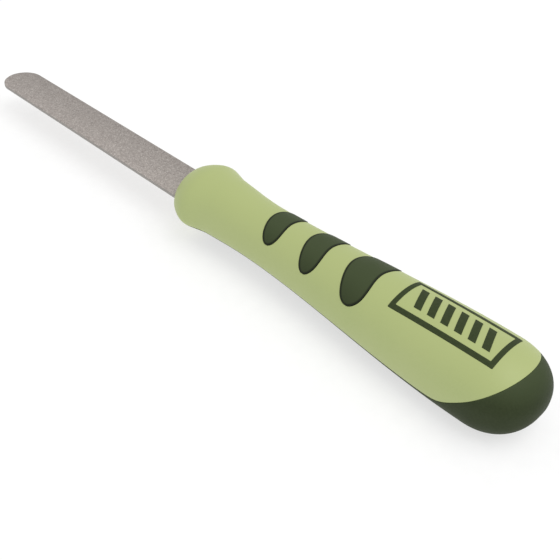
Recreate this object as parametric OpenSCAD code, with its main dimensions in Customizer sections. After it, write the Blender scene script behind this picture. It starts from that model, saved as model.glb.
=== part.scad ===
// Pet nail file: a thin grit-coated steel strip in a moulded two-colour handle.
// X runs along the blade towards its tip, Y is across it and Z is up. The blade is level,
// the lowest point of the grip is at Z = 0, and the whole file is centred on X and Y.
// Every place along the handle is a distance from its flat front face, towards the butt.

/* [Blade] */
// Exposed length, from the front of the handle to the tip
blade_l = 87; // [60:0.5:110]
// Width where the blade enters the handle
blade_w = 12.6; // [11:0.1:13.5]
// Width at the tip, as a share of the width at the handle
tip_share = 0.95; // [0.85:0.01:1]
// Thickness of the steel strip
steel_t = 0.8; // [0.6:0.1:1.2]
// Thickness of the abrasive coat on each face
coat_t = 0.1; // [0.05:0.05:0.2]
// Length of the tang inside the handle
tang_l = 62; // [58:1:70]
// Width of the tang
tang_w = 8.4; // [7:0.2:10]
// Diameter of the holes that key the tang into the handle
tang_hole_d = 3.6; // [2:0.2:4.4]

/* [Handle] */
// Length of the handle
handle_l = 107.5; // [105:0.5:115]
// Width at the collar, next to the blade
collar_w = 21.8; // [20.4:0.1:24]
// Height of the collar above the blade
collar_up = 9.5; // [8:0.1:12]
// Depth of the collar below the blade
collar_down = 6.8; // [6:0.1:9]
// Width at the throat, just behind the collar
throat_w = 17.7; // [16:0.1:20]
// Height of the throat above the blade
throat_up = 8.9; // [7:0.1:11]
// Depth of the throat below the blade
throat_down = 6.7; // [5:0.1:8]
// Width at the neck, the slimmest place
neck_w = 16.2; // [15:0.1:20]
// Height of the neck above the blade
neck_up = 7.6; // [6:0.1:9]
// Depth of the neck below the blade
neck_down = 6.5; // [5:0.1:8]
// Width at the swell, the widest place
swell_w = 23.2; // [20:0.1:27]
// Height of the swell above the blade
swell_up = 9.2; // [8:0.1:12]
// Depth of the swell below the blade, where the handle is lowest
swell_down = 9.7; // [9:0.1:12]
// Reach of the rounding at the nose
nose_round = 11.2; // [9:0.1:11.5]
// Reach of the rounding at the butt
butt_round = 12.8; // [10:0.2:13.4]

/* [Grip] */
// Where the underside grip starts
grip_start = 6; // [4:0.5:12]
// Where the parting line crosses the top of the handle
parting_top = 102.8; // [100:0.2:103.4]
// Slope of the parting line at the butt
parting_angle = 42; // [35:1:50]
// Depth of the parting line along the side, as a share of the depth below the blade
parting_share = 0.53; // [0.4:0.01:0.7]
// Height of the grip stripes above the handle
stripe_proud = 0.15; // [0.15:0.05:0.8]
// Depth of the bed that each stripe is moulded into
stripe_bed = 0.9; // [0.5:0.1:1.2]

/* [Badge] */
// Length of the printed frame
badge_l = 27; // [24:0.1:28]
// Width of the printed frame
badge_w = 12; // [10:0.1:13]
// Width of the frame's line
badge_line = 1.25; // [0.6:0.05:1.4]
// Number of slanted bars inside the frame
bar_count = 6; // [3:1:7]

/* [Hidden] */

steel = [0.68, 0.67, 0.65];
grit = [0.62, 0.60, 0.57];
light_green = [0.69, 0.74, 0.49];
dark_green = [0.26, 0.31, 0.21];

// Places of the collar, throat, neck and swell
stations = [4.8, 12.8, 26.5, 91.5];
widths = [collar_w, throat_w, neck_w, swell_w];
heights = [collar_up, throat_up, neck_up, swell_up];
depths = [collar_down, throat_down, neck_down, swell_down];

// The rounding at the nose is cut flat this far in, which leaves a front face for the slot
nose_cut = 3.9;
nose_power = 1.7;
butt_power = 2.15;
// Room left at the butt, so that its last ring keeps a size
butt_gap = 0.05;
// The underside gets flatter towards the butt: powers of its superellipse at the two ends
under_power = [2, 2.8];

// Where the tang narrows, its slant there, its chamfered end, and its holes
shoulder_at = 5;
shoulder_slant = 2;
tang_chamfer = 1;
hole_count = 3;
hole_first = 16;
hole_pitch = 19;
// The coats stop just short of the handle
coat_gap = 0.3;

// Each stripe: place of its middle, half width, how far its ends sweep back, half angle
front_stripe = [32.5, 2.95, 0.95, 58];
middle_stripe = [45.2, 3.2, 1.2, 64];
rear_stripe = [59, 4.1, 1.5, 65.4];
// Angle at which the sweep is complete, and the powers that narrow a stripe to its ends
sweep_angle = 55;
taper_power = 3;
taper_root = 1.8;

// Place of the badge's middle, and the radii of the frame's corners
badge_at = 83.2;
inside_corner = 0.15;
outside_corner = 0.3;
ink_proud = 0.06;
ink_bed = 0.12;
bar_w = 1.9;
bar_l = 6.4;
bar_slant = 1.1;

// Steps of the smooth surfaces
ring_sides = 48;
nose_rings = 8;
middle_rings = 32;
butt_rings = 9;
parting_steps = 44;
stripe_steps = 14;
stripe_rows = 5;
corner_steps = 5;
side_steps = 16;
bar_steps = 8;

total_l = blade_l + handle_l;
nose_x = handle_l - total_l / 2;
blade_z = swell_down;
tip_r = blade_w * tip_share / 2;

// Value at t (0 to 1) of a smooth curve of width w from v0 to v1 with end slopes m0 and m1
function hermite(t, w, v0, v1, m0, m1) =
    (2 * pow(t, 3) - 3 * pow(t, 2) + 1) * v0 + (pow(t, 3) - 2 * pow(t, 2) + t) * w * m0
    + (3 * pow(t, 2) - 2 * pow(t, 3)) * v1 + (pow(t, 3) - pow(t, 2)) * w * m1;

// Slope of the curve from station i to station i + 1
function rise(v, i) = (v[i + 1] - v[i]) / (stations[i + 1] - stations[i]);

// Slope at the throat: the harmonic mean of the slopes before and after it, or level
function throat_slope(v) =
    rise(v, 0) * rise(v, 1) <= 0 ? 0 : 2 * rise(v, 0) * rise(v, 1) / (rise(v, 0) + rise(v, 1));

function share(h, i) = max(0, min(1, (h - stations[i]) / (stations[i + 1] - stations[i])));
function span(i) = stations[i + 1] - stations[i];

// A smooth curve through the four values in v, at place h
function profile(h, v) =
    h < stations[1] ? hermite(share(h, 0), span(0), v[0], v[1], 0, throat_slope(v))
    : h < stations[2] ? hermite(share(h, 1), span(1), v[1], v[2], throat_slope(v), 0)
    : hermite(share(h, 2), span(2), v[2], v[3], 0, 0);

// Share of the full section that is left by a rounded end, at distance d into it
function rounding(d, reach, power) = pow(1 - pow(max(0, 1 - d / reach), power), 1 / power);
function end_share(h) =
    rounding(h + nose_cut, nose_round, nose_power)
    * rounding(handle_l - h + butt_gap, butt_round, butt_power);

function half_width(h) = end_share(h) * profile(h, widths) / 2;
function above(h) = end_share(h) * profile(h, heights);
function below(h) = end_share(h) * profile(h, depths);
function signed_pow(v, p) = sign(v) * pow(abs(v), p);

// Point of the handle's surface at place h and angle a from +Y, raised by lift
function skin_point(h, a, lift = 0) =
    let (p = sin(a) >= 0 ? 1 : 2 / (under_power[0] + (under_power[1] - under_power[0]) * h / handle_l),
         tall = sin(a) >= 0 ? above(h) : below(h))
    [nose_x - h, (half_width(h) + lift) * signed_pow(cos(a), p),
     blade_z + (tall + lift) * signed_pow(sin(a), p)];

// Point of the handle's upper surface at place h and distance y across, raised by lift
function top_point(h, y, lift) =
    [nose_x - h, y, blade_z + above(h) * sqrt(1 - pow(y / half_width(h), 2)) + lift];

// Height of the parting surface over the blade's middle: level, then sloping up to the top
parting_blend = 2.2;
parting_rise = above(parting_top);
function level_part(h) = -parting_share * profile(h, depths);
function sloped_part(h) = parting_rise - (parting_top - h) * tan(parting_angle);
function parting(h) =
    (level_part(h) + sloped_part(h)
     + sqrt(pow(level_part(h) - sloped_part(h), 2) + pow(parting_blend, 2))) / 2;

// A closed solid over rings that all have the same number of points, capped or joined in a loop
module skin(rings, looped = false) {
    n = len(rings);
    m = len(rings[0]);
    rows = looped ? n : n - 1;
    sides = [for (i = [0 : rows - 1]) for (j = [0 : m - 1])
             let (a = i * m + j, b = i * m + (j + 1) % m,
                  c = ((i + 1) % n) * m + (j + 1) % m, d = ((i + 1) % n) * m + j)
             each [[a, b, c], [a, c, d]]];
    end = (n - 1) * m;
    caps = looped ? [] : [for (j = [1 : m - 2]) each [[0, j + 1, j], [end, end + j, end + j + 1]]];
    polyhedron([for (ring = rings) each ring], concat(sides, caps), convexity = 6);
}

// Rings of the handle: even steps over the nose and the middle, closer ones over the butt
nose_reach = nose_round - nose_cut;
butt_at = handle_l - butt_round;
ring_places = concat(
    [for (i = [0 : nose_rings - 1]) nose_reach * i / nose_rings],
    [for (i = [0 : middle_rings - 1]) nose_reach + (butt_at - nose_reach) * i / middle_rings],
    [for (i = [0 : butt_rings]) butt_at + butt_round * sin(90 * i / butt_rings)]);

module handle_solid() {
    skin([for (h = ring_places) [for (j = [0 : ring_sides - 1]) skin_point(h, 360 * j / ring_sides)]]);
}

// Everything under the parting surface, behind the start of the grip
module grip_side() {
    margin = 2;
    past = handle_l + margin;
    line = [for (i = [0 : parting_steps]) let (h = grip_start + (past - grip_start) * i / parting_steps)
            [nose_x - h, blade_z + parting(h)]];
    lower_corners = [[nose_x - past, -margin], [nose_x - grip_start, -margin]];
    rotate([90, 0, 0])
        linear_extrude(height = swell_w + 2 * margin, center = true) polygon(concat(line, lower_corners));
}

// No new size is given, so this keeps the shape and only joins it into one closed mesh
module one_mesh() {
    resize([0, 0, 0]) children();
}

// Half width of the exposed strip at x
tip_x = nose_x + blade_l - tip_r;
function strip_half(x) = tip_r + (blade_w / 2 - tip_r) * (tip_x - x) / (tip_x - nose_x);

// Outline of the exposed strip from its round tip back to x
module strip_outline(x) {
    polygon([[tip_x, tip_r], [x, strip_half(x)], [x, -strip_half(x)], [tip_x, -tip_r]]);
    translate([tip_x, 0]) circle(r = tip_r, $fn = 96);
}

// Outline of the tang, with its shoulders inside the handle
module tang_outline() {
    narrow_x = nose_x - shoulder_at - shoulder_slant;
    half = [[nose_x, blade_w / 2], [nose_x - shoulder_at, blade_w / 2], [narrow_x, tang_w / 2],
            [nose_x - tang_l + tang_chamfer, tang_w / 2], [nose_x - tang_l, tang_w / 2 - tang_chamfer]];
    other_half = [for (i = [len(half) - 1 : -1 : 0]) [half[i][0], -half[i][1]]];
    difference() {
        polygon(concat(half, other_half));
        for (i = [0 : hole_count - 1])
            translate([nose_x - hole_first - i * hole_pitch, 0]) circle(d = tang_hole_d, $fn = 32);
    }
}

module steel_strip() {
    translate([0, 0, blade_z - steel_t / 2]) linear_extrude(height = steel_t) {
        strip_outline(nose_x);
        tang_outline();
    }
}

module coat() {
    linear_extrude(height = coat_t) strip_outline(nose_x + coat_gap);
}

// A crescent pad over the top of the handle, set into a bed and a little proud of the surface
module stripe(s) {
    last_turn = 0.995 * s[3];
    rows = stripe_rows;
    skin([for (i = [-stripe_steps : stripe_steps])
          let (turn = last_turn * sin(90 * i / stripe_steps),
               t = min(1, abs(turn) / sweep_angle),
               middle = s[0] + s[2] * (3 * t * t - 2 * pow(t, 3)),
               half = s[1] * pow(1 - pow(abs(turn) / s[3], taper_power), 1 / taper_root))
          concat([for (j = [rows : -1 : 0])
                  skin_point(middle + half * (2 * j / rows - 1), 90 + turn, stripe_proud)],
                 [for (j = [0 : rows])
                  skin_point(middle + half * (2 * j / rows - 1), 90 + turn, -stripe_bed)])]);
}

// Corner k of a rectangle that is inset from the edge of the badge, and the direction at angle t
function corner(k, inset) =
    [(badge_l / 2 - inset) * (k % 4 == 0 || k % 4 == 3 ? 1 : -1),
     (badge_w / 2 - inset) * (k % 4 < 2 ? 1 : -1)];
function direction(t) = [cos(t), sin(t)];

// Flat outline of that rectangle: four arcs of radius r, with even steps along the sides between
function badge_outline(inset, r) =
    [for (k = [0 : 3]) let (middle = corner(k, inset + r), from = middle + r * direction(90 * (k + 1)),
                            to = corner(k + 1, inset + r) + r * direction(90 * (k + 1)))
     each concat([for (j = [0 : corner_steps]) middle + r * direction(90 * (k + j / corner_steps))],
                 [for (j = [1 : side_steps - 1]) from + (to - from) * j / side_steps])];

module frame_ink() {
    inner = badge_outline(badge_line, inside_corner);
    outer = badge_outline(0, outside_corner);
    skin([for (i = [0 : len(inner) - 1])
          [top_point(badge_at + inner[i][0], inner[i][1], -ink_bed),
           top_point(badge_at + inner[i][0], inner[i][1], ink_proud),
           top_point(badge_at + outer[i][0], outer[i][1], ink_proud),
           top_point(badge_at + outer[i][0], outer[i][1], -ink_bed)]], looped = true);
}

// One slanted bar whose middle is at place h
module bar_ink(h) {
    skin([for (i = [0 : bar_steps])
          let (u = 1 - 2 * i / bar_steps, y = u * bar_l / 2, at = h + u * bar_slant)
          [top_point(at + bar_w / 2, y, ink_proud), top_point(at - bar_w / 2, y, ink_proud),
           top_point(at - bar_w / 2, y, -ink_bed), top_point(at + bar_w / 2, y, -ink_bed)]]);
}

module bars_ink() {
    room = badge_l - 2 * badge_line;
    pitch = room / (bar_count + 1);
    for (i = [1 : bar_count]) bar_ink(badge_at - room / 2 + i * pitch);
}

module file_blade() { color(steel) steel_strip(); }
module abrasive_top() { color(grit) translate([0, 0, blade_z + steel_t / 2]) coat(); }
module abrasive_bottom() { color(grit) translate([0, 0, blade_z - steel_t / 2 - coat_t]) coat(); }

module handle_body() {
    color(light_green) one_mesh() difference() {
        handle_solid();
        grip_side();
        steel_strip();
        stripe(front_stripe);
        stripe(middle_stripe);
        stripe(rear_stripe);
        frame_ink();
        bars_ink();
    }
}

module underside_grip() {
    color(dark_green) one_mesh() intersection() {
        handle_solid();
        grip_side();
    }
}

module grip_stripe_front() { color(dark_green) stripe(front_stripe); }
module grip_stripe_middle() { color(dark_green) stripe(middle_stripe); }
module grip_stripe_rear() { color(dark_green) stripe(rear_stripe); }
module badge_border() { color(dark_green) frame_ink(); }
module badge_mark() { color(dark_green) bars_ink(); }

file_blade();
abrasive_top();
abrasive_bottom();
handle_body();
underside_grip();
grip_stripe_front();
grip_stripe_middle();
grip_stripe_rear();
badge_border();
badge_mark();
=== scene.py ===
# Pet nail file: a thin grit-coated steel strip in a moulded two-colour handle with inset pads.
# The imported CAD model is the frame. Each piece here stands for one of its nodes. Sizes in the
# maths are in millimetres and become metres when a mesh is made. A place h along the handle is
# the distance from its flat front face towards the butt, and an angle is measured from +Y.
import math

import bmesh
import bpy
import numpy as np
from mathutils import Matrix, Vector


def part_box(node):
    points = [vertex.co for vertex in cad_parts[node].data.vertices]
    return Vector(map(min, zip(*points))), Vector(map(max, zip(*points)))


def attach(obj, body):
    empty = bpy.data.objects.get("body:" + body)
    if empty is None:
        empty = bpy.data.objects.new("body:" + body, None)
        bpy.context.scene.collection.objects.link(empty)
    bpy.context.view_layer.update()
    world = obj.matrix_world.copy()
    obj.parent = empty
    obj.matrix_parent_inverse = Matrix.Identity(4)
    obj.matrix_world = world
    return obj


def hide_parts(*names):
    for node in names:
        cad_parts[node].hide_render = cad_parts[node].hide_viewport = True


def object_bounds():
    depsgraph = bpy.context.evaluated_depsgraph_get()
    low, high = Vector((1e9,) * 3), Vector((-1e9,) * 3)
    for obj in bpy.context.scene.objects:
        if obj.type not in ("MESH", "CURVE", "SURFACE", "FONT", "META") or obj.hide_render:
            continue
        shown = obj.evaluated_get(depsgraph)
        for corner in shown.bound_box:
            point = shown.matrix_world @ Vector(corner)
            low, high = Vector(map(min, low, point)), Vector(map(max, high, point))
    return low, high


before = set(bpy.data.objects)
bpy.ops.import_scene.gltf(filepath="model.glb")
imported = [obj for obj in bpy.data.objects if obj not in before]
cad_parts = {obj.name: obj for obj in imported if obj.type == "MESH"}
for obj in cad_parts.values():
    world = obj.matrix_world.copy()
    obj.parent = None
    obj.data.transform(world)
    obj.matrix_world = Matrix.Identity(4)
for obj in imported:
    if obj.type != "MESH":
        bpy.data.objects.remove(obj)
cad_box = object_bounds()
MM = 0.001

# ---------------------------------------------------------------- sizes that the frame gives
blade_low, blade_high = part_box("file_blade")
body_low, body_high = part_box("handle_body")
grip_low, grip_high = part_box("underside_grip")
coat_low, coat_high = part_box("abrasive_top")

NOSE_X = body_high.x / MM
HANDLE_L = NOSE_X - grip_low.x / MM
TIP_X = blade_high.x / MM
BLADE_Z = (blade_low.z + blade_high.z) / 2 / MM
BLADE_W = (blade_high.y - blade_low.y) / MM
STEEL_T = (blade_high.z - blade_low.z) / MM
COAT_T = (coat_high.z - coat_low.z) / MM
TANG_L = NOSE_X - blade_low.x / MM
GRIP_START = NOSE_X - grip_high.x / MM
PARTING_TOP = NOSE_X - body_low.x / MM

# ------------------------------------------------------- the handle's shape, as the CAD has it
# Places, widths, heights above the blade and depths below it: collar, throat, neck and swell
STATIONS = (4.8, 12.8, 26.5, 91.5)
WIDTHS = (21.8, 17.7, 16.2, 23.2)
HEIGHTS = (9.5, 8.9, 7.6, 9.2)
DEPTHS = (6.8, 6.7, 6.5, 9.7)
NOSE_CUT, NOSE_ROUND, NOSE_POWER = 3.9, 11.2, 1.7
BUTT_GAP, BUTT_ROUND, BUTT_POWER = 0.05, 12.8, 2.15
# The underside gets flatter towards the butt: powers of its superellipse at the two ends
UNDER_POWER = (2.0, 2.8)
# The parting surface: its depth as a share of the depth below the blade, its slope at the butt,
# and the width over which the one turns into the other
PARTING_SHARE = 0.53
PARTING_SLOPE = math.tan(math.radians(42))
PARTING_BLEND = 2.2
# The edge round the front face: how far it reaches back, and the share it takes off the face
NOSE_RIM, FACE_INSET = 1.3, 0.085
# Radius of the small round along the parting line
LIP_R = 0.2

# Points of a ring above and below the parting surface, on the body and on the grip, then the
# number of rings at nose, collar and butt, and the distance between the others
BODY_OVER, BODY_UNDER = 112, 60
GRIP_OVER, GRIP_UNDER = 40, 112
NOSE_STEPS, COLLAR_STEPS, BUTT_STEPS = 9, 11, 34
RING_STEP = 0.5

# Grip pads: place of the middle, half width, sweep of the ends, half angle
STRIPES = {
    "front": (32.5, 2.95, 0.95, 58),
    "middle": (45.2, 3.2, 1.2, 64),
    "rear": (59.0, 4.1, 1.5, 65.4),
}
# Angle at which the sweep is complete, the powers that narrow a pad to its ends, and the share
# of the half angle that its mesh fills
SWEEP_ANGLE = 55
TAPER_POWER, TAPER_ROOT = 3, 1.8
LAST_TURN = 0.995
# Height above the handle, depth of the bed, radius of the edge, rise of the crown, and width of the
# rim of painted shade along the edge
STRIPE_PROUD, STRIPE_BED, STRIPE_EDGE, STRIPE_CROWN, STRIPE_RIM = 0.15, 0.9, 0.15, 0.03, 0.7
# Gaps under a pad and in front of the grip, round a pad, and round the steel in the handle
SEAM, PAD_SEAM, SLOT_SEAM = 0.05, 0.1, 0.03
# Radius of the handle where the pads are, which turns a gap into an angle
PAD_RADIUS = 9

# The strip is a little narrower at its round tip than at the handle, and its edges are rounded
TIP_R = 0.95 * BLADE_W / 2
STEEL_EDGE = 0.1
TANG_W = 8.4
SHOULDER_AT, SHOULDER_SLANT, TANG_CHAMFER = 5.0, 2.0, 1.0
TANG_HOLES, TANG_HOLE_D = (16, 35, 54), 3.6
# The grit: distance of its edge from the steel's, height of a grain, and gap before the handle
COAT_INSET, GRAIN, COAT_GAP = 0.03, 0.05, 0.02

BADGE_AT, BADGE_L, BADGE_W, BADGE_LINE = 83.2, 27.0, 12.0, 1.25
INSIDE_CORNER, OUTSIDE_CORNER = 0.15, 0.3
BAR_COUNT, BAR_W, BAR_L, BAR_SLANT = 6, 1.9, 6.4, 1.1
INK_PROUD, INK_SUNK = 0.06, 0.06
INK_EDGE, INK_STEP = 0.04, 0.02

# Edges that turn by more degrees than this stay crisp, and lengths under TINY count as none
SMOOTH_ANGLE = 35
TINY = 1e-9


def hermite(t, w, v0, v1, m0, m1):
    """A smooth curve of width w from v0 to v1 with end slopes m0 and m1, at t from 0 to 1."""
    return (
        (2 * t**3 - 3 * t**2 + 1) * v0
        + (t**3 - 2 * t**2 + t) * w * m0
        + (3 * t**2 - 2 * t**3) * v1
        + (t**3 - t**2) * w * m1
    )


def profile(h, v):
    """A smooth curve through the four values in v at the stations."""
    spans = np.diff(STATIONS)
    rises = np.diff(v) / spans
    level = rises[0] * rises[1] <= 0
    throat = 0.0 if level else 2 * rises[0] * rises[1] / (rises[0] + rises[1])
    slopes = (0.0, throat, 0.0, 0.0)
    h = np.asarray(h, float)
    parts = []
    for i in range(3):
        t = np.clip((h - STATIONS[i]) / spans[i], 0, 1)
        parts.append(hermite(t, spans[i], v[i], v[i + 1], slopes[i], slopes[i + 1]))
    return np.where(h < STATIONS[1], parts[0], np.where(h < STATIONS[2], parts[1], parts[2]))


def rounding(d, reach, power):
    """Share of the full section that a rounded end leaves at distance d into it."""
    left = np.clip(1 - np.asarray(d, float) / reach, 0, 1)
    return (1 - left**power) ** (1 / power)


def end_share(h):
    """Share of the full section that both rounded ends leave at place h."""
    nose = rounding(np.asarray(h) + NOSE_CUT, NOSE_ROUND, NOSE_POWER)
    return nose * rounding(HANDLE_L - np.asarray(h) + BUTT_GAP, BUTT_ROUND, BUTT_POWER)


def signed_pow(v, p):
    return np.sign(v) * np.abs(v) ** p


def under_exponent(h):
    """Power of the cosine and sine that draws the underside's section at place h."""
    return 2 / (UNDER_POWER[0] + (UNDER_POWER[1] - UNDER_POWER[0]) * h / HANDLE_L)


def skin(h, a, share=None):
    """Points of the handle's surface at places h and angles a in degrees, in millimetres.

    share takes the place of the share that the rounded ends leave there.
    """
    h, a = np.broadcast_arrays(np.asarray(h, float), np.radians(np.asarray(a, float)))
    share = end_share(h) if share is None else share
    over = np.sin(a) >= 0
    power = np.where(over, 1.0, under_exponent(h))
    tall = np.where(over, profile(h, HEIGHTS), profile(h, DEPTHS)) * share
    half = profile(h, WIDTHS) / 2 * share
    y = half * signed_pow(np.cos(a), power)
    z = BLADE_Z + tall * signed_pow(np.sin(a), power)
    return np.stack([NOSE_X - h, y, z], -1)


def unit(v):
    return v / np.maximum(np.linalg.norm(v, axis=-1, keepdims=True), 1e-12)


def skin_normal(h, a):
    """Outward normals of the handle's surface, from points a small step to each side."""
    dh, da = 0.01, 0.05
    h = np.asarray(h, float)
    low = np.clip(h - dh, 0, HANDLE_L)
    high = np.clip(h + dh, 0, HANDLE_L)
    along = skin(high, a) - skin(low, a)
    around = skin(h, np.asarray(a) + da) - skin(h, np.asarray(a) - da)
    return unit(np.cross(along, around))


def parting(h):
    """Height of the parting surface: level along the side, then sloping up over the butt."""
    top = end_share(PARTING_TOP) * profile(PARTING_TOP, HEIGHTS)
    level = -PARTING_SHARE * profile(h, DEPTHS)
    slope = top - (PARTING_TOP - np.asarray(h, float)) * PARTING_SLOPE
    return BLADE_Z + (level + slope + np.hypot(level - slope, PARTING_BLEND)) / 2


def parting_angle(h):
    """Angle at which the parting surface meets the handle's near side at place h."""
    rise = parting(h) - BLADE_Z
    share = end_share(h)
    up = np.clip(rise / (share * profile(h, HEIGHTS)), 0, 1)
    down = np.clip(-rise / (share * profile(h, DEPTHS)), 0, 1) ** (1 / under_exponent(h))
    return np.degrees(np.where(rise > 0, np.arcsin(up), -np.arcsin(down)))


# ------------------------------------------------------------------------------ mesh helpers
def make_object(name, points, faces, rim=None):
    """A mesh object from points in millimetres, with outward faces and crisp corners.

    rim is a share for each point, from 0 to 1, of painted shade that darkens its material.
    """
    mesh = bpy.data.meshes.new(name)
    mesh.from_pydata((np.asarray(points, float).reshape(-1, 3) * MM).tolist(), [], faces)
    if rim is not None:
        shares = mesh.attributes.new("rim", "FLOAT", "POINT")
        shares.data.foreach_set("value", np.asarray(rim, np.float32).ravel())
    bm = bmesh.new()
    bm.from_mesh(mesh)
    bmesh.ops.remove_doubles(bm, verts=bm.verts, dist=1e-7)
    bmesh.ops.dissolve_degenerate(bm, edges=bm.edges, dist=1e-7)
    bmesh.ops.recalc_face_normals(bm, faces=bm.faces)
    bm.to_mesh(mesh)
    bm.free()
    shade(mesh)
    return link(name, mesh)


def link(name, data):
    """An object of that name in the scene, around a mesh, a light or a camera."""
    item = bpy.data.objects.new(name, data)
    bpy.context.scene.collection.objects.link(item)
    return item


def shade(mesh, smooth_angle=SMOOTH_ANGLE):
    """Smooth shading, with edges kept crisp where they turn by more than that."""
    mesh.shade_smooth()
    mesh.set_sharp_from_angle(angle=math.radians(smooth_angle))


def grid_faces(rows, columns, start=0, wrap=False, loop=False):
    """Quads over a grid of points, joined round its columns (wrap) or its rows (loop)."""
    faces = []
    for i in range(rows if loop else rows - 1):
        for j in range(columns if wrap else columns - 1):
            k, m = (i + 1) % rows, (j + 1) % columns
            faces.append([start + i * columns + j, start + i * columns + m,
                          start + k * columns + m, start + k * columns + j])
    return faces


def loft(name, rings, loop=False):
    """A closed skin over rings with the same number of points each, capped or joined in a loop."""
    rings = np.asarray(rings)
    rows, columns = rings.shape[:2]
    faces = grid_faces(rows, columns, wrap=True, loop=loop)
    if not loop:
        faces.append(list(range(columns)))
        faces.append([(rows - 1) * columns + j for j in range(columns)])
    return make_object(name, rings, faces)


def slab(name, top, bottom, shade_top=None):
    """A closed piece between two grids of points, with a wall round their outline.

    shade_top is the share of painted shade at each point of the top. Bottom and wall have all of it.
    """
    rows, columns = top.shape[:2]
    count = rows * columns
    faces = grid_faces(rows, columns) + grid_faces(rows, columns, start=count)
    rim = list(range(columns))
    rim += [i * columns + columns - 1 for i in range(1, rows)]
    rim += [(rows - 1) * columns + j for j in range(columns - 2, -1, -1)]
    rim += [i * columns for i in range(rows - 2, 0, -1)]
    for a, b in zip(rim, rim[1:] + rim[:1]):
        faces.append([a, b, b + count, a + count])
    shares = None if shade_top is None else np.concatenate([shade_top.ravel(), np.ones(count)])
    return make_object(name, np.concatenate([top.reshape(-1, 3), bottom.reshape(-1, 3)]), faces, shares)


def cut_away(piece, cutters):
    """Takes the cutters' shapes out of piece, and removes the cutters."""
    for cutter in cutters:
        modifier = piece.modifiers.new("cut", "BOOLEAN")
        modifier.operation = "DIFFERENCE"
        modifier.solver = "EXACT"
        modifier.object = cutter
    bpy.context.view_layer.update()
    evaluated = piece.evaluated_get(bpy.context.evaluated_depsgraph_get())
    mesh = bpy.data.meshes.new_from_object(evaluated)
    piece.modifiers.clear()
    piece.data = mesh
    shade(mesh)
    for cutter in cutters:
        bpy.data.objects.remove(cutter)


# ---------------------------------------------------------------------- handle body and grip
# Closer steps next to the parting line, where the small round is
EDGE_STEPS = np.array([0.0, 0.03, 0.07, 0.12, 0.18, 0.26])


def arc_angles(h, start, end, count, share=None):
    """Angles from start to end at even steps along the surface, with closer ones at both ends."""
    dense = np.linspace(start, end, 721)
    points = skin(h, dense, share)
    length = np.concatenate([[0], np.cumsum(np.linalg.norm(np.diff(points, axis=0), axis=1))])
    near = EDGE_STEPS * min(1.0, length[-1] / 4)
    middle = np.linspace(near[-1], length[-1] - near[-1], count - 2 * len(near) + 2)[1:-1]
    return np.interp(np.concatenate([near, middle, length[-1] - near[::-1]]), length, dense)


def lipped(h, a):
    """Surface points, sunk in a small round along the parting surface where it comes out."""
    dh, da = 0.02, 0.1
    gap = skin(h, a)[..., 2] - parting(h)
    pairs = [
        (skin(h, a + da), skin(h, a - da), 0.0),
        (skin(h + dh, a), skin(h - dh, a), parting(h + dh) - parting(h - dh)),
    ]
    steepness = 0
    for high, low, parting_rise in pairs:
        rise = high[..., 2] - low[..., 2] - parting_rise
        run = np.maximum(np.linalg.norm(high - low, axis=-1), TINY)
        steepness = steepness + (rise / run) ** 2
    distance = np.abs(gap) / np.sqrt(np.maximum(steepness, TINY))
    left = np.clip(LIP_R - distance, 0, LIP_R)
    depth = LIP_R - np.sqrt(LIP_R**2 - left**2)
    normal = skin_normal(h, a)
    slope = (parting(h + dh) - parting(h - dh)) / (2 * dh)
    flat = unit(np.stack([slope, 0 * slope, 1 + 0 * slope], -1))
    inward = -normal + np.sum(normal * flat, -1, keepdims=True) * flat
    reach = np.maximum(-np.sum(inward * normal, -1, keepdims=True), 0.3)
    return skin(h, a) + inward / reach * depth[..., None]


def chord(points, count):
    """Points on the straight line from the last of points back to the first, ends left out."""
    t = np.linspace(0, 1, count + 2)[1:-1, None]
    return points[-1] * (1 - t) + points[0] * t


def handle_places(start, end, step):
    """Places from start to end at even steps, and ever closer towards the end."""
    count = int((end - start) / step)
    t = np.linspace(0, 1, count)
    tail = 0.22
    even = t / (1 - tail / 2)
    eased = 1 - (1 - t) ** 2 / (tail * (2 - tail))
    return start + (end - start) * np.where(t < 1 - tail, even, eased)


def body_rings():
    """Rings of the body: rounded nose, whole collar, then the part over the parting surface."""
    corner = float(parting_angle(GRIP_START + 1e-6))

    def whole_ring(h, share=None, sunk=0.0):
        upper = skin(h, arc_angles(h, corner, 180 - corner, BODY_OVER, share), share)
        angles = arc_angles(h, 180 - corner, 360 + corner, BODY_UNDER + 2, share)[1:-1]
        lower = skin(h, angles, share)
        if sunk:
            lower = lower - sunk * skin_normal(h, angles)
        return np.concatenate([upper, lower])

    rings = []
    nose_share = float(end_share(0.0))
    rim_share = float(end_share(NOSE_RIM))
    low = nose_share - FACE_INSET
    for t in np.linspace(0, 1, NOSE_STEPS):
        h = NOSE_RIM * t * t
        share = low * (1 - t) ** 2 + 2 * nose_share * t * (1 - t) + rim_share * t * t
        rings.append(whole_ring(h, share))
    for h in np.linspace(NOSE_RIM, GRIP_START - LIP_R, COLLAR_STEPS)[1:]:
        rings.append(whole_ring(h))
    for turn in (30, 60, 90):
        h = GRIP_START - LIP_R + LIP_R * math.sin(math.radians(turn))
        rings.append(whole_ring(h, sunk=LIP_R * (1 - math.cos(math.radians(turn)))))
    for h in handle_places(GRIP_START, PARTING_TOP, RING_STEP):
        start = float(parting_angle(h))
        upper = lipped(h, arc_angles(h, start, 180 - start, BODY_OVER))
        rings.append(np.concatenate([upper, chord(upper, BODY_UNDER)]))
    return rings


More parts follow.
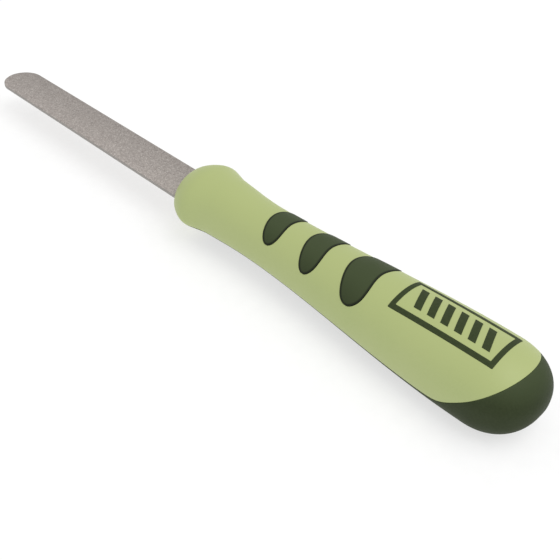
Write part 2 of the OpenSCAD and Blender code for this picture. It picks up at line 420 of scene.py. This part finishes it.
def grip_rings():
    """Rings of the grip: its rounded front, the part under the parting surface, the whole butt."""
    rings = []
    first = GRIP_START + SEAM
    for h in handle_places(first, PARTING_TOP, RING_STEP):
        start = float(parting_angle(h))
        lower = lipped(h, arc_angles(h, start, -180 - start, GRIP_UNDER))
        rings.append(np.concatenate([lower, chord(lower, GRIP_OVER)]))
    butt_at = HANDLE_L - BUTT_ROUND
    past = math.degrees(math.asin((PARTING_TOP - butt_at) / BUTT_ROUND))
    for turn in np.linspace(past, 90, BUTT_STEPS)[1:]:
        h = butt_at + BUTT_ROUND * math.sin(math.radians(turn))
        lower = skin(h, arc_angles(h, 90, -270, GRIP_UNDER))
        rings.append(np.concatenate([lower, chord(lower, GRIP_OVER)]))
    middle = rings[0].mean(0)
    front = []
    for turn in (0, 30, 60):
        inset = LIP_R * (1 - math.sin(math.radians(turn)))
        ring = rings[0] - unit((rings[0] - middle) * [0, 1, 1]) * inset
        ring[:, 0] = NOSE_X - first - LIP_R * (1 - math.cos(math.radians(turn)))
        front.append(ring)
    return front + rings[1:]


# ------------------------------------------------------------------------------- grip pads
def stripe_point(stripe, u, turn, grow=0.0):
    """Place along the handle of a point of a pad: u is -1 at its front edge and 1 at its rear."""
    middle, half, sweep, reach = stripe
    t = np.clip(np.abs(turn) / SWEEP_ANGLE, 0, 1)
    centre = middle + sweep * (3 * t**2 - 2 * t**3)
    taper = (1 - np.clip(np.abs(turn) / reach, 0, 1) ** TAPER_POWER) ** (1 / TAPER_ROOT)
    return centre + (half * taper + grow) * u


def distance_to(points, outline):
    """Distance from each point to a closed outline."""
    a, b = outline, np.roll(outline, -1, 0)
    ab = b - a
    flat = points.reshape(-1, 3)
    t = np.einsum("pk,qk->pq", flat, ab) - np.sum(a * ab, -1)
    t = np.clip(t / np.maximum(np.sum(ab * ab, -1), 1e-12), 0, 1)
    nearest = a + t[..., None] * ab
    gap = np.linalg.norm(flat[:, None] - nearest, axis=-1)
    return gap.min(1).reshape(points.shape[:-1])


def stripe_grid(stripe, rows, columns, grow=0.0):
    """Places and angles of a grid over a pad that is larger by grow all round."""
    filled = LAST_TURN * stripe[3]
    reach = filled + math.degrees(grow / PAD_RADIUS)
    turns = reach * np.sin(np.radians(np.linspace(-90, 90, rows)))[:, None]
    u = -np.cos(np.radians(np.linspace(0, 180, columns)))[None, :]
    return stripe_point(stripe, u, turns * filled / reach, grow), 90 + turns + 0 * u


def stripe_pad(name, stripe):
    """A pad: a rounded edge, a low crown, and a bottom at the depth of its bed."""
    h, a = stripe_grid(stripe, rows=97, columns=33)
    base, normal = skin(h, a), skin_normal(h, a)
    outline = np.concatenate([base[:, 0], base[::-1, -1]])
    distance = distance_to(base, outline)
    left = np.clip(STRIPE_EDGE - distance, 0, STRIPE_EDGE)
    edge = STRIPE_EDGE - np.sqrt(STRIPE_EDGE**2 - left**2)
    crown = STRIPE_CROWN * (1 - (1 - np.clip(distance / stripe[1], 0, 1)) ** 2)
    top = base + normal * (STRIPE_PROUD - edge + crown)[..., None]
    bottom = base - normal * STRIPE_BED
    # Painted shade along the pad's edge, fading out over STRIPE_RIM towards its middle
    return slab(name, top, bottom, np.clip(1 - distance / STRIPE_RIM, 0, 1))


def stripe_cutter(stripe):
    """The shape that cuts a pad's bed, from below its bottom to well above the handle."""
    h, a = stripe_grid(stripe, rows=97, columns=9, grow=PAD_SEAM)
    base, normal = skin(h, a), skin_normal(h, a)
    return slab("bed_cutter", base + normal, base - normal * (STRIPE_BED + SEAM))


# ------------------------------------------------------------------------------------ blade
def strip_outline(grow=0.0):
    """Outline of the steel, from one side of the tang round the tip to the other."""
    half = BLADE_W / 2 + grow
    tip_x = TIP_X - TIP_R
    side = [
        (NOSE_X - TANG_L - grow, TANG_W / 2 - TANG_CHAMFER + grow / 2),
        (NOSE_X - TANG_L + TANG_CHAMFER, TANG_W / 2 + grow),
        (NOSE_X - SHOULDER_AT - SHOULDER_SLANT - grow, TANG_W / 2 + grow),
        (NOSE_X - SHOULDER_AT - grow, half),
        (NOSE_X, half),
    ]
    round_tip = [
        (tip_x + (TIP_R + grow) * math.cos(t), (TIP_R + grow) * math.sin(t))
        for t in np.linspace(math.pi / 2, -math.pi / 2, 97)
    ]
    return side + round_tip + [(x, -y) for x, y in reversed(side)]


def strip_solid(name, grow=0.0, edge=0.0):
    """The steel strip with its tang and the three holes in it.

    grow makes it larger all round, and edge rounds the rims of its two faces by that much.
    """
    sharp_turn = 1.2
    bm = bmesh.new()
    loops = [strip_outline(grow)]
    for place in TANG_HOLES:
        radius = TANG_HOLE_D / 2 - grow
        loops.append([
            (NOSE_X - place + radius * math.cos(t), radius * math.sin(t))
            for t in np.linspace(0, 2 * math.pi, 49)[:-1]
        ])
    bottom_z = (BLADE_Z - STEEL_T / 2 - grow) * MM
    for loop in loops:
        verts = [bm.verts.new((x * MM, y * MM, bottom_z)) for x, y in loop]
        for i, v in enumerate(verts):
            bm.edges.new((v, verts[(i + 1) % len(verts)]))
    filled = bmesh.ops.triangle_fill(bm, use_beauty=True, edges=bm.edges[:])
    faces = [g for g in filled["geom"] if isinstance(g, bmesh.types.BMFace)]
    raised = bmesh.ops.extrude_face_region(bm, geom=faces)
    verts = [g for g in raised["geom"] if isinstance(g, bmesh.types.BMVert)]
    bmesh.ops.translate(bm, verts=verts, vec=(0, 0, (STEEL_T + 2 * grow) * MM))
    bmesh.ops.recalc_face_normals(bm, faces=bm.faces)
    if edge:
        rims = [
            e for e in bm.edges
            if len(e.link_faces) == 2 and abs(e.calc_face_angle()) > sharp_turn
            and abs(e.verts[0].co.z - e.verts[1].co.z) < TINY
        ]
        bmesh.ops.bevel(bm, geom=rims, offset=edge * MM, segments=3, profile=0.5, affect="EDGES")
    mesh = bpy.data.meshes.new(name)
    bm.to_mesh(mesh)
    bm.free()
    shade(mesh, 30)
    return link(name, mesh)


def strip_half(x):
    """Half width of the strip at x, between the handle and the round tip."""
    tip_x = TIP_X - TIP_R
    return TIP_R + (BLADE_W / 2 - TIP_R) * (tip_x - x) / (tip_x - NOSE_X)


def coat_piece(name, side, seed):
    """A layer of bonded grit on one face: side is 1 on the upper face and -1 on the lower."""
    sunk, edge_share = 0.02, 0.3
    along_steps, tip_steps, across_steps = 330, 46, 53
    rng = np.random.default_rng(seed)
    tip_x = TIP_X - TIP_R
    tip_reach = TIP_R - COAT_INSET
    straight = np.linspace(NOSE_X + COAT_GAP, tip_x, along_steps)[:-1]
    turns = np.linspace(0, 88, tip_steps)
    xs = np.concatenate([straight, tip_x + tip_reach * np.sin(np.radians(turns))])
    past = np.clip((xs - tip_x) / tip_reach, 0, 1)
    half = np.where(xs > tip_x, tip_reach * np.sqrt(1 - past**2), strip_half(xs) - COAT_INSET)
    v = np.linspace(-1, 1, across_steps)
    x = xs[:, None] + 0 * v
    y = half[:, None] * v
    height = np.abs(rng.normal(0, GRAIN / 2, x.shape))
    height[:, [0, -1]] *= edge_share
    surface = BLADE_Z + side * STEEL_T / 2
    top = np.stack([x, y, surface + side * (COAT_T - GRAIN + np.minimum(height, GRAIN))], -1)
    bottom = np.stack([x, y, surface + 0 * x - side * sunk], -1)
    return slab(name, top, bottom)


# ------------------------------------------------------------------------------- badge print
def top_point(h, y, lift):
    """Points of the handle's upper surface at place h and distance y across."""
    half = end_share(h) * profile(h, WIDTHS) / 2
    up = end_share(h) * profile(h, HEIGHTS)
    z = BLADE_Z + up * np.sqrt(1 - (y / half) ** 2) + lift
    return np.stack(np.broadcast_arrays(NOSE_X - h, y, z), -1)


def badge_outline(inset):
    """Flat outline at that inset from the badge's edge: four small arcs and the sides between."""
    corner_steps, long_steps, short_steps = 7, 40, 24
    r = OUTSIDE_CORNER + (INSIDE_CORNER - OUTSIDE_CORNER) * inset / BADGE_LINE
    a, b = BADGE_L / 2 - inset - r, BADGE_W / 2 - inset - r
    middles = np.array([(a, b), (-a, b), (-a, -b), (a, -b)])
    outline = []
    for k in range(4):
        turns = np.radians(90 * k + np.linspace(0, 90, corner_steps))
        outline.append(middles[k] + r * np.stack([np.cos(turns), np.sin(turns)], -1))
        start = outline[-1][-1]
        end = start + middles[(k + 1) % 4] - middles[k]
        steps = long_steps if k % 2 == 0 else short_steps
        outline.append(start + (end - start) * np.linspace(0, 1, steps)[1:-1, None])
    return np.concatenate(outline)


def badge_frame():
    """The printed frame: a line round a rectangle, lying on the handle's surface."""
    shoulder = INK_PROUD - INK_STEP
    section = [(0.0, -INK_SUNK), (0.0, shoulder), (INK_EDGE, INK_PROUD)]
    section += [(BADGE_LINE * s, INK_PROUD) for s in (0.3, 0.5, 0.7)]
    section += [(BADGE_LINE - INK_EDGE, INK_PROUD), (BADGE_LINE, shoulder), (BADGE_LINE, -INK_SUNK)]
    rings = []
    for inset, lift in section:
        line = badge_outline(inset)
        rings.append(top_point(BADGE_AT + line[:, 0], line[:, 1], lift))
    return loft("badge_print_frame", np.stack(rings, 1), loop=True)


def badge_bars():
    """Plain slanted bars inside the frame."""
    room = BADGE_L - 2 * BADGE_LINE
    pitch = room / (BAR_COUNT + 1)
    points, faces = [], []
    y = np.linspace(BAR_L / 2, -BAR_L / 2, 17)
    across = [(-1, -INK_SUNK), (-1, INK_PROUD), (-0.4, INK_PROUD), (0.4, INK_PROUD),
              (1, INK_PROUD), (1, -INK_SUNK)]
    for i in range(BAR_COUNT):
        h = BADGE_AT - room / 2 + (i + 1) * pitch + y / (BAR_L / 2) * BAR_SLANT
        rings = np.stack([top_point(h + s * BAR_W / 2, y, lift) for s, lift in across], 1)
        start = len(points)
        points.extend(rings.reshape(-1, 3).tolist())
        faces += grid_faces(len(y), len(across), start=start, wrap=True)
        faces.append([start + j for j in range(len(across))])
        faces.append([start + (len(y) - 1) * len(across) + j for j in range(len(across))])
    return make_object("badge_print_bars", points, faces)


# --------------------------------------------------------------------------------- materials
def new_material(name):
    """A node material of that name, its tree and its main shader."""
    material = bpy.data.materials.new(name)
    material.use_nodes = True
    return material, material.node_tree, material.node_tree.nodes["Principled BSDF"]


def add(tree, kind, settings=None, **inputs):
    """A node of that kind, with settings on it and values or links on its inputs."""
    node = tree.nodes.new(kind)
    for key, value in (settings or {}).items():
        setattr(node, key, value)
    for key, value in inputs.items():
        socket = node.inputs[key.replace("_", " ")]
        if isinstance(value, bpy.types.NodeSocket):
            tree.links.new(value, socket)
        else:
            socket.default_value = value
    return node


def noise(tree, size_mm, detail, roughness=0.5):
    """Noise whose features are about size_mm across, from 0 to 1."""
    place = add(tree, "ShaderNodeTexCoord").outputs["Object"]
    return add(tree, "ShaderNodeTexNoise", Vector=place, Scale=1 / (size_mm * MM),
               Detail=detail, Roughness=roughness).outputs["Fac"]


def ramp(tree, value, low, high, from_low=0.3, from_high=0.7):
    """A linear change from low to high as value goes from from_low to from_high."""
    node = add(tree, "ShaderNodeMapRange", Value=value)
    node.inputs["From Min"].default_value = from_low
    node.inputs["From Max"].default_value = from_high
    node.inputs["To Min"].default_value = low
    node.inputs["To Max"].default_value = high
    return node.outputs["Result"]


def blend_colours(tree, share, one, other):
    """The colour one, or other where share is 1. Each may be a constant or a link."""
    node = tree.nodes.new("ShaderNodeMix")
    node.data_type = "RGBA"
    for socket, value in ((node.inputs["Factor"], share), (node.inputs[6], one), (node.inputs[7], other)):
        if isinstance(value, bpy.types.NodeSocket):
            tree.links.new(value, socket)
        else:
            socket.default_value = (*value, 1.0) if isinstance(value, tuple) else value
    return node.outputs[2]


def bump(tree, shader, height, depth_mm):
    """Relief on the shader, depth_mm deep where height goes from 0 to 1."""
    node = add(tree, "ShaderNodeBump", Height=height, Strength=1.0, Distance=depth_mm * MM)
    tree.links.new(node.outputs["Normal"], shader.inputs["Normal"])


def moulded(name, colour, other, worn, upper, rough, grain_mm, depth_mm, specular):
    """A moulded surface: slow colour change, fine grain, patches of polish, painted light on top.

    The pads' meshes also carry a share called rim, which paints shade along their edges.
    """
    material, tree, shader = new_material(name)
    slow = ramp(tree, noise(tree, 22, 3), 0, 1)
    fine = ramp(tree, noise(tree, 0.5, 2), 0, 0.35)
    base = blend_colours(tree, slow, colour, other)
    base = blend_colours(tree, fine, base, worn)
    normal = add(tree, "ShaderNodeNewGeometry").outputs["Normal"]
    facing = add(tree, "ShaderNodeSeparateXYZ", Vector=normal)
    # Painted light: a lighter tone where the surface faces up
    base = blend_colours(tree, ramp(tree, facing.outputs["Z"], 0, 1, 0.4, 0.95), base, upper)
    # Painted shade at the pads' edges, where their rim share is high
    rim = add(tree, "ShaderNodeAttribute", {"attribute_name": "rim"}).outputs["Fac"]
    base = blend_colours(tree, ramp(tree, rim, 0, 0.9, 0.1, 0.6), base, RIM_SHADE)
    tree.links.new(base, shader.inputs["Base Color"])
    tree.links.new(ramp(tree, noise(tree, 9, 4), rough - 0.05, rough + 0.06), shader.inputs["Roughness"])
    shader.inputs["Specular IOR Level"].default_value = specular
    bump(tree, shader, noise(tree, grain_mm, 3, 0.6), depth_mm)
    return material


def steel_material():
    """Bare ground steel: fine scratches along the strip."""
    material, tree, shader = new_material("blade_steel")
    place = add(tree, "ShaderNodeTexCoord").outputs["Object"]
    stretched = add(tree, "ShaderNodeMapping", Vector=place, Scale=(300, 9000, 9000)).outputs["Vector"]
    scratches = add(tree, "ShaderNodeTexNoise", Vector=stretched, Scale=1.0, Detail=3.0).outputs["Fac"]
    base = blend_colours(tree, ramp(tree, scratches, 0, 1), (0.30, 0.285, 0.27), (0.42, 0.40, 0.38))
    tree.links.new(base, shader.inputs["Base Color"])
    shader.inputs["Metallic"].default_value = 1.0
    tree.links.new(ramp(tree, scratches, 0.48, 0.64), shader.inputs["Roughness"])
    bump(tree, shader, scratches, 0.004)
    return material


def grit_material():
    """Bonded metal grit: grains of many tones, a few bright or dark, and a slow change of tone.

    Painted shade across the coat: lighter towards one long edge, darker towards the other. Darker towards
    the tip.
    """
    material, tree, shader = new_material("abrasive_coat")
    place = add(tree, "ShaderNodeTexCoord").outputs["Object"]
    grains = add(tree, "ShaderNodeTexVoronoi", Vector=place, Scale=1 / (0.26 * MM))
    tone = add(tree, "ShaderNodeSeparateColor", Color=grains.outputs["Color"])
    clumps = ramp(tree, noise(tree, 1.1, 3), 0, 1)
    dull = blend_colours(tree, clumps, (0.335, 0.298, 0.275), (0.405, 0.362, 0.335))
    many = ramp(tree, tone.outputs["Red"], 0, 0.8, 0.5, 1.0)
    bright = blend_colours(tree, many, dull, (0.56, 0.52, 0.485))
    few = ramp(tree, tone.outputs["Green"], 0, 0.6, 0.6, 1.0)
    mixed = blend_colours(tree, few, bright, (0.20, 0.18, 0.166))
    part_of = add(tree, "ShaderNodeSeparateXYZ", Vector=place)
    side = BLADE_W / 2 * MM
    # Painted shade across the coat, darker towards one long edge and lighter towards the other
    across = ramp(tree, part_of.outputs["Y"], 0.9, 1.12, -side, side)
    along = ramp(tree, part_of.outputs["X"], 1.02, 0.94, NOSE_X * MM, TIP_X * MM)
    value = add(tree, "ShaderNodeMath", {"operation": "MULTIPLY"})
    tree.links.new(across, value.inputs[0])
    tree.links.new(along, value.inputs[1])
    toned = add(tree, "ShaderNodeHueSaturation", Color=mixed, Value=value.outputs[0])
    tree.links.new(toned.outputs["Color"], shader.inputs["Base Color"])
    shader.inputs["Metallic"].default_value = 0.35
    tree.links.new(ramp(tree, tone.outputs["Blue"], 0.42, 0.75, 0, 1), shader.inputs["Roughness"])
    height = add(tree, "ShaderNodeMath", {"operation": "SUBTRACT"})
    height.inputs[0].default_value = 1.0
    tree.links.new(grains.outputs["Distance"], height.inputs[1])
    bump(tree, shader, height.outputs[0], 0.06)
    return material


def ink_material():
    """Printed ink: matte, with the slight mottle of a pad print."""
    material, tree, shader = new_material("badge_ink")
    mottle = ramp(tree, noise(tree, 0.7, 3), 0, 1)
    base = blend_colours(tree, mottle, (0.030, 0.044, 0.014), (0.042, 0.058, 0.021))
    tree.links.new(base, shader.inputs["Base Color"])
    tree.links.new(ramp(tree, mottle, 0.56, 0.68, 0, 1), shader.inputs["Roughness"])
    shader.inputs["Specular IOR Level"].default_value = 0.15
    bump(tree, shader, noise(tree, 0.15, 2), 0.006)
    return material


# Base, second and grain tones of the two mouldings, their painted light where they face up,
# and the painted shade at the pads' edges
RIM_SHADE = (0.008, 0.012, 0.004)
LIGHT_GREEN = (0.425, 0.485, 0.204)
LIGHT_GREEN_2 = (0.405, 0.474, 0.192)
LIGHT_GREEN_WORN = (0.446, 0.505, 0.220)
LIGHT_GREEN_PAINTED_TOP_LIGHT = (0.428, 0.490, 0.196)
DARK_GREEN = (0.021, 0.032, 0.009)
DARK_GREEN_2 = (0.029, 0.041, 0.013)
DARK_GREEN_WORN = (0.042, 0.055, 0.021)
DARK_GREEN_PAINTED_TOP_LIGHT = (0.050, 0.069, 0.027)

plastic = moulded("body_plastic", LIGHT_GREEN, LIGHT_GREEN_2, LIGHT_GREEN_WORN, LIGHT_GREEN_PAINTED_TOP_LIGHT,
                  rough=0.46, grain_mm=0.16, depth_mm=0.012, specular=0.4)
rubber = moulded("grip_rubber", DARK_GREEN, DARK_GREEN_2, DARK_GREEN_WORN, DARK_GREEN_PAINTED_TOP_LIGHT,
                 rough=0.62, grain_mm=0.12, depth_mm=0.016, specular=0.2)
steel = steel_material()
grit = grit_material()
ink = ink_material()


def finish_piece(piece, node, material):
    """The piece gets its material, rides on the one body and stands for that CAD node."""
    piece.data.materials.clear()
    piece.data.materials.append(material)
    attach(piece, "root")
    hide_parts(node)


body = loft("handle_shell", body_rings())
slot_cutter = strip_solid("slot_cutter", grow=SLOT_SEAM)
cut_away(body, [slot_cutter] + [stripe_cutter(stripe) for stripe in STRIPES.values()])
finish_piece(body, "handle_body", plastic)
finish_piece(loft("underside_pad", grip_rings()), "underside_grip", rubber)
for place, stripe in STRIPES.items():
    finish_piece(stripe_pad(f"grip_pad_{place}", stripe), f"grip_stripe_{place}", rubber)
finish_piece(strip_solid("steel_strip", edge=STEEL_EDGE), "file_blade", steel)
finish_piece(coat_piece("grit_upper", 1, seed=3), "abrasive_top", grit)
finish_piece(coat_piece("grit_lower", -1, seed=5), "abrasive_bottom", grit)
finish_piece(badge_frame(), "badge_border", ink)
finish_piece(badge_bars(), "badge_mark", ink)


# ----------------------------------------------------------------- floor, light and camera
def make_floor():
    """A wide pale floor at the lowest point, with some light of its own that softens shadows."""
    size = 6.0
    z = cad_box[0][2]
    corners = [(-size, -size, z), (size, -size, z), (size, size, z), (-size, size, z)]
    mesh = bpy.data.meshes.new("floor")
    mesh.from_pydata(corners, [], [(0, 1, 2, 3)])
    floor = link("floor", mesh)
    material, tree, shader = new_material("floor_paper")
    mottle = ramp(tree, noise(tree, 3, 2), 0, 1)
    tone = blend_colours(tree, mottle, (0.39, 0.39, 0.388), (0.41, 0.41, 0.408))
    tree.links.new(tone, shader.inputs["Base Color"])
    shader.inputs["Roughness"].default_value = 0.9
    shader.inputs["Specular IOR Level"].default_value = 0.1
    shader.inputs["Emission Color"].default_value = (1.0, 1.0, 1.0, 1.0)
    shader.inputs["Emission Strength"].default_value = 0.62
    mesh.materials.append(material)


def make_light(name, at, aim, size, power):
    """A square soft light at that place, turned towards aim."""
    light = bpy.data.lights.new(name, "AREA")
    light.size = size
    light.energy = power
    lamp = link(name, light)
    lamp.location = at
    lamp.rotation_euler = (Vector(aim) - Vector(at)).to_track_quat("-Z", "Y").to_euler()


def make_world(strength):
    """Even white light from all round."""
    world = bpy.data.worlds.new("studio")
    world.use_nodes = True
    background = world.node_tree.nodes["Background"]
    background.inputs["Color"].default_value = (1.0, 1.0, 1.0, 1.0)
    background.inputs["Strength"].default_value = strength
    bpy.context.scene.world = world


def make_camera():
    """The camera looks down along the handle from beside its butt, with a slight roll."""
    nose_x = NOSE_X * MM
    at = Vector((nose_x - 0.14403, 0.12653, 0.14026))
    aim = Vector((nose_x - 0.04185, 0.01038, 0.0097))
    roll = math.radians(3.79)
    data = bpy.data.cameras.new("camera")
    data.sensor_width = 36
    data.lens = 54.64
    camera = link("camera", data)
    turn = (aim - at).to_track_quat("-Z", "Y").to_matrix().to_4x4()
    camera.matrix_world = Matrix.Translation(at) @ turn @ Matrix.Rotation(roll, 4, "Z")
    bpy.context.scene.camera = camera


make_floor()
make_world(0.77)
make_light("key", at=(-0.6, -0.2, 1.4), aim=(0, 0, 0), size=1.2, power=8)
make_camera()
bpy.context.scene.view_settings.view_transform = "Standard"
